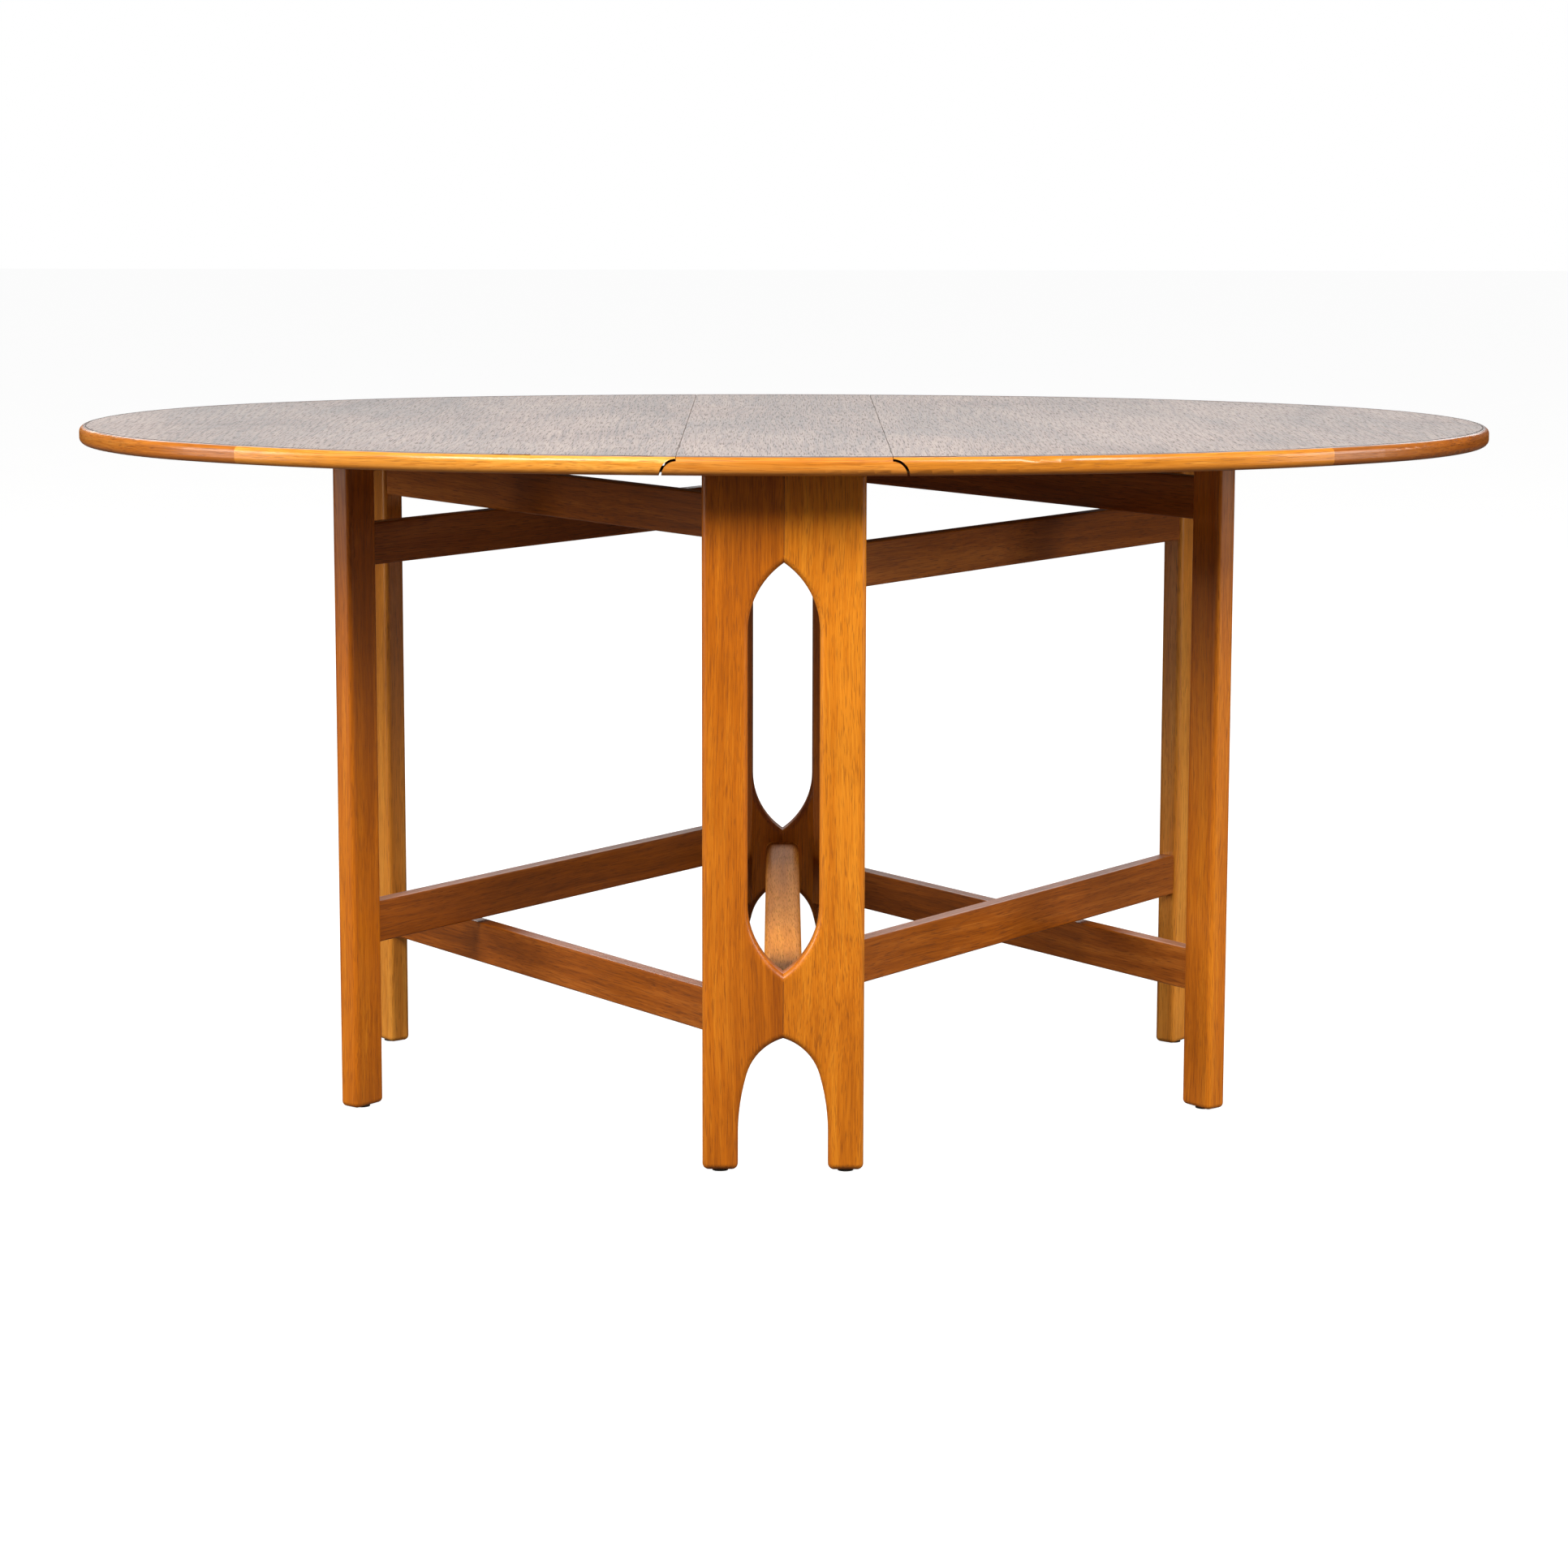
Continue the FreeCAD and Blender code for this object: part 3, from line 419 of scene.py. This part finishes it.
def gate_angle(gate):
    """The plan direction of a gate's rails, from the ends of one of them."""
    low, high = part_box(f"gate_{gate}_lower_rail")
    slope = math.atan2(high[1] - low[1], high[0] - low[0])
    return slope if gate in ("front_left", "back_right") else -slope


def dress_top():
    for i, part in enumerate(("left_leaf", "fixed_top", "right_leaf")):
        dress(f"{part}_veneer", veneer(f"veneer_{part}", 3 + 7 * i))
        dress(f"{part}_core", wood(f"core_{part}", ALONG_Y, 2 + i, BOARD, 0.3, 0.3, 0.55))
    for i, end in enumerate(("front", "back")):
        dress(f"fixed_top_lipping_{end}",
              wood(f"lipping_fixed_{end}", ROUND_EDGE, 11 + i,
                   tinted(PALE_HONEY, (0.90, 0.82, 0.80)), 0.3, 0.5, 0.30, coat=0.45, rim=True))
        for j, side in enumerate(("left", "right")):
            seed = 21 + 2 * i + j
            dress(f"{side}_leaf_lipping_{end}",
                  wood(f"lipping_{side}_{end}", ROUND_EDGE, seed, PALE_HONEY, 0.3, 0.5, 0.30,
                       coat=0.45, rim=True))
    shades = {"left": (0.78, 0.68, 0.72), "right": (0.54, 0.42, 0.44)}
    for i, (side, tint) in enumerate(shades.items()):
        dress(f"{side}_leaf_lipping_nose",
              wood(f"lipping_{side}_nose", ROUND_EDGE, 31 + i, tinted(PALE_HONEY, tint), 0.3, 0.6,
                   0.32, coat=0.4, rim=True))


def dress_base():
    tints = {"left": (0.94, 0.92, 0.9), "right": (1.06, 1.12, 1.25)}
    for i, end in enumerate(("front", "back")):
        for j, (side, tint) in enumerate(tints.items()):
            dress(f"{end}_panel_{side}_board",
                  wood(f"panel_{end}_{side}", ALONG_Z, 41 + 3 * i + j, tinted(HONEY, tint),
                       0.35, 0.5, 0.36, marks=0.8))
    dress("lower_stretcher", wood("stretcher", ALONG_Y, 51, TAN, 0.3, 0.6, 0.55))
    dress("upper_rail", wood("upper_rail", ALONG_Y, 52, BROWN_HONEY, 0.25, 0.5, 0.45))
    for i, gate in enumerate(GATES):
        dress(f"pivot_block_{gate}",
              wood(f"pivot_block_{gate}", ALONG_X, 55 + i, BROWN_HONEY, 0.3, 0.5))


def dress_gates():
    leg_tones = {"front_left": HONEY, "back_left": TAN, "front_right": HONEY, "back_right": TAN}
    for i, gate in enumerate(GATES):
        angle = gate_angle(gate)
        dress(f"gate_{gate}_leg",
              wood(f"leg_{gate}", ALONG_Z, 61 + i, leg_tones[gate], 0.4, 0.5, 0.36, marks=0.5))
        dress(f"gate_{gate}_stile", wood(f"stile_{gate}", ALONG_Z, 66 + i, BROWN_HONEY, 0.3, 0.5))
        for j, level in enumerate(("upper", "lower")):
            dress(f"gate_{gate}_{level}_rail",
                  wood(f"rail_{gate}_{level}", angle, 71 + 2 * i + j, BROWN_HONEY,
                       0.35, 0.55, 0.38))


def dress_fittings():
    fittings = {"brass": metal("dull_brass", (0.55, 0.40, 0.16), 0.30),
                "steel": metal("plain_steel", (0.45, 0.45, 0.46), 0.28),
                "glides": plastic("dark_glide", (0.020, 0.017, 0.015))}
    for entry in frame["record"]["subparts"]:
        if entry["material_slot"] in fittings:
            dress(entry["node"], fittings[entry["material_slot"]])
    for i, side in enumerate(("left", "right")):
        dress(f"{side}_leaf_gate_stops",
              wood(f"stops_{side}", ALONG_X, 91 + i, BROWN_HONEY, 0.3, 0.5))


# ---------------------------------------------------------------- glue lines


def chains_of(node, wanted):
    """The node's edges that pass the test, joined end to end into chains of points."""
    mesh = bmesh.new()
    mesh.from_mesh(frame["nodes"][node].data)
    bmesh.ops.remove_doubles(mesh, verts=mesh.verts, dist=WELD)
    mesh.normal_update()
    unused = dict.fromkeys(edge for edge in mesh.edges if wanted(edge))
    chains = []
    while unused:
        start = next((v for edge in unused for v in edge.verts
                      if sum(e in unused for e in v.link_edges) == 1), None)
        start = start or next(iter(unused)).verts[0]
        chain = [start.co.copy()]
        onward = [edge for edge in start.link_edges if edge in unused]
        while onward:
            unused.pop(onward[0])
            start = onward[0].other_vert(start)
            chain.append(start.co.copy())
            onward = [edge for edge in start.link_edges if edge in unused]
        chains.append(chain)
    mesh.free()
    return chains


def add_line(name, chains, sink, radius, body, material):
    """A thin dark line, sunk by the vector sink from the chains of points that it follows."""
    data = bpy.data.curves.new(name, "CURVE")
    data.dimensions = "3D"
    data.bevel_depth = radius
    data.bevel_resolution = 1
    for chain in chains:
        spline = data.splines.new("POLY")
        spline.points.add(len(chain) - 1)
        for point, place in zip(spline.points, chain):
            point.co = (*(place + sink), 1)
    data.materials.append(material)
    line = bpy.data.objects.new(name, data)
    bpy.context.scene.collection.objects.link(line)
    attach(line, body)


def rim_chains(part):
    """Where the veneer's top meets the lipping: its top outline without the straight seams."""
    node = f"{part}_veneer"
    low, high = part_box(node)
    seams = {"left_leaf": [high[0]], "right_leaf": [low[0]], "fixed_top": [low[0], high[0]]}[part]

    def on_rim(edge):
        if any(abs(v.co.z - high[2]) > TOUCHING for v in edge.verts):
            return False
        flat = [abs(face.normal.z) > FLAT for face in edge.link_faces]
        on_seam = any(all(abs(v.co.x - seam) < ON_SEAM for v in edge.verts) for seam in seams)
        return flat.count(True) == 1 and not on_seam

    return chains_of(node, on_rim)


def joint_chains(end):
    """The straight glue joint between a panel's two boards, on its outer face."""
    node = f"{end}_panel_left_board"
    low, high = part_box(node)
    face = low[1] if end == "front" else high[1]

    def on_joint(edge):
        return all(abs(v.co.x - high[0]) < TOUCHING and abs(v.co.y - face) < TOUCHING
                   for v in edge.verts)

    return chains_of(node, on_joint)


def butt_chains(side):
    """The outlines of the two butt joints between a leaf's nose lipping and its neighbours."""
    node = f"{side}_leaf_lipping_nose"
    low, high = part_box(node)
    plane = high[0] if side == "left" else low[0]

    def on_butt(edge):
        if any(abs(v.co.x - plane) > ON_SEAM for v in edge.verts):
            return False
        return any(abs(face.normal.x) < FLAT for face in edge.link_faces)

    return chains_of(node, on_butt)


def glue_lines():
    dark = wood("glue_line", ALONG_Y, 99, tinted(TOP_BROWN, (0.35, 0.3, 0.3)), 0.2, 0.2, 0.5)
    bodies = {"left_leaf": "left_leaf", "fixed_top": "base", "right_leaf": "right_leaf"}
    for part, body in bodies.items():
        add_line(f"{part}_glue_line", rim_chains(part), Vector((0, 0, -RIM_SUNK)), RIM_RADIUS,
                 body, dark)
    for side in ("left", "right"):
        add_line(f"{side}_leaf_butt_lines", butt_chains(side), Vector((0, 0, 0)), BUTT_RADIUS,
                 f"{side}_leaf", dark)
    for end, way in (("front", 1), ("back", -1)):
        add_line(f"{end}_panel_glue_line", joint_chains(end), Vector((0, way * JOINT_SUNK, 0)),
                 JOINT_RADIUS, "base", dark)


# ---------------------------------------------------------------- studio


def make_camera():
    data = bpy.data.cameras.new("camera")
    data.lens = LENS_MM
    data.sensor_width = SENSOR_MM
    data.shift_x = SHIFT_X
    data.shift_y = SHIFT_Y
    data.clip_end = FAR_CLIP
    camera = bpy.data.objects.new("camera", data)
    turn = Matrix.Rotation(YAW, 4, "Z") @ Matrix.Rotation(math.pi / 2 - PITCH_DOWN, 4, "X")
    camera.matrix_world = Matrix.Translation(EYE) @ turn @ Matrix.Rotation(ROLL, 4, "Z")
    bpy.context.scene.collection.objects.link(camera)
    bpy.context.scene.camera = camera


def make_floor():
    """A pale paper floor. It looks nearly white, and throws little light up under the table."""
    bpy.ops.mesh.primitive_plane_add(size=FLOOR_SIZE)
    floor = bpy.context.object
    floor.name = "floor"
    graph = Graph("pale_floor")
    place = graph.add("TexCoord").outputs["Object"]
    speck = graph.noise(place, 3.0, 3.0)
    seen = graph.add("LightPath").outputs["Is Camera Ray"]
    shade = graph.ramp(speck, FLOOR_SHADES)
    graph.set_input(graph.shader, "Base Color", graph.mix(seen, FLOOR_BOUNCE, shade))
    graph.set_input(graph.shader, "Roughness", 1.0)
    graph.shader.inputs["Specular IOR Level"].default_value = 0.0
    graph.shader.inputs["Emission Color"].default_value = (*WHITE, 1)
    graph.set_input(graph.shader, "Emission Strength", graph.math("MULTIPLY", seen, FLOOR_GLOW))
    floor.data.materials.append(graph.material)


def softbox(name, place, aim, width, height, power, colour):
    data = bpy.data.lights.new(name, "AREA")
    data.shape = "RECTANGLE"
    data.size = width
    data.size_y = height
    data.energy = power
    data.color = colour
    light = bpy.data.objects.new(name, data)
    light.location = place
    light.rotation_euler = (Vector(aim) - Vector(place)).to_track_quat("-Z", "Y").to_euler()
    bpy.context.scene.collection.objects.link(light)


def make_lights():
    for box in SOFTBOXES:
        softbox(*box)
    make_world()
    bpy.context.scene.view_settings.view_transform = "Standard"


def make_world():
    """White where the camera sees it, and a dim even light otherwise."""
    world = bpy.data.worlds.new("studio")
    world.use_nodes = True
    nodes = world.node_tree.nodes
    background = nodes["Background"]
    background.inputs["Color"].default_value = (*WHITE, 1)
    seen = nodes.new("ShaderNodeLightPath").outputs["Is Camera Ray"]
    strength = nodes.new("ShaderNodeMath")
    strength.operation = "MULTIPLY_ADD"
    world.node_tree.links.new(seen, strength.inputs[0])
    strength.inputs[1].default_value = 1.0 - DIM_WORLD
    strength.inputs[2].default_value = DIM_WORLD
    world.node_tree.links.new(strength.outputs[0], background.inputs["Strength"])
    bpy.context.scene.world = world


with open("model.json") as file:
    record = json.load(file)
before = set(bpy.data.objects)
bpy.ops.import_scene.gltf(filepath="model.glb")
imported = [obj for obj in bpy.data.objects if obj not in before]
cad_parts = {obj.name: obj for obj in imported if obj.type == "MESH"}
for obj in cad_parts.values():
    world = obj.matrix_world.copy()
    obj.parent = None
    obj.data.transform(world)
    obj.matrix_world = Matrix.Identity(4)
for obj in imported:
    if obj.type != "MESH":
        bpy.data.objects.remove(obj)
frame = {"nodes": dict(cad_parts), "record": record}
CAD_BOX = [list(corner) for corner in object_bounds()]
make_camera()
make_floor()
make_lights()
dress_top()
dress_base()
dress_gates()
dress_fittings()
glue_lines()
